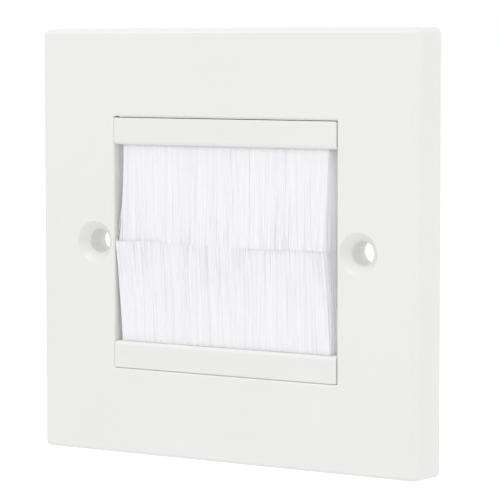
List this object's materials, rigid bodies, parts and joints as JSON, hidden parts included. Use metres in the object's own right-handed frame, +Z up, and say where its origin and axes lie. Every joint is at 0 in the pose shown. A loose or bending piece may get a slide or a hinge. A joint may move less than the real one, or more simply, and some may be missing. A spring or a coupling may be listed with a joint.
{
  "type": "brush wall plate",
  "caption": "Square white wall plate whose window is closed by facing brushes, for cables to pass through the wall, with countersunk screw holes beside it.",
  "frame": {"origin": "midway between the two screw holes, on the wall plane at the back of the plate", "axes": "+X to the right seen from the front, +Z up the wall, -Y out of the wall, the way the face looks"},
  "size_m": [0.086, 0.009, 0.086],
  "materials": {
    "faceplate": "smooth gloss",
    "carrier": "satin",
    "channel": "bright zinc",
    "core_wire": "drawn wire",
    "bristles": "fine filaments"
  },
  "bodies": {
    "root": {"faceplate": "faceplate", "upper_brush_carrier": "carrier", "lower_brush_carrier": "carrier", "upper_brush_channel": "channel", "lower_brush_channel": "channel", "upper_core_wire": "core_wire", "lower_core_wire": "core_wire", "upper_bristles": "bristles", "lower_bristles": "bristles"}
  },
  "joints": []
}
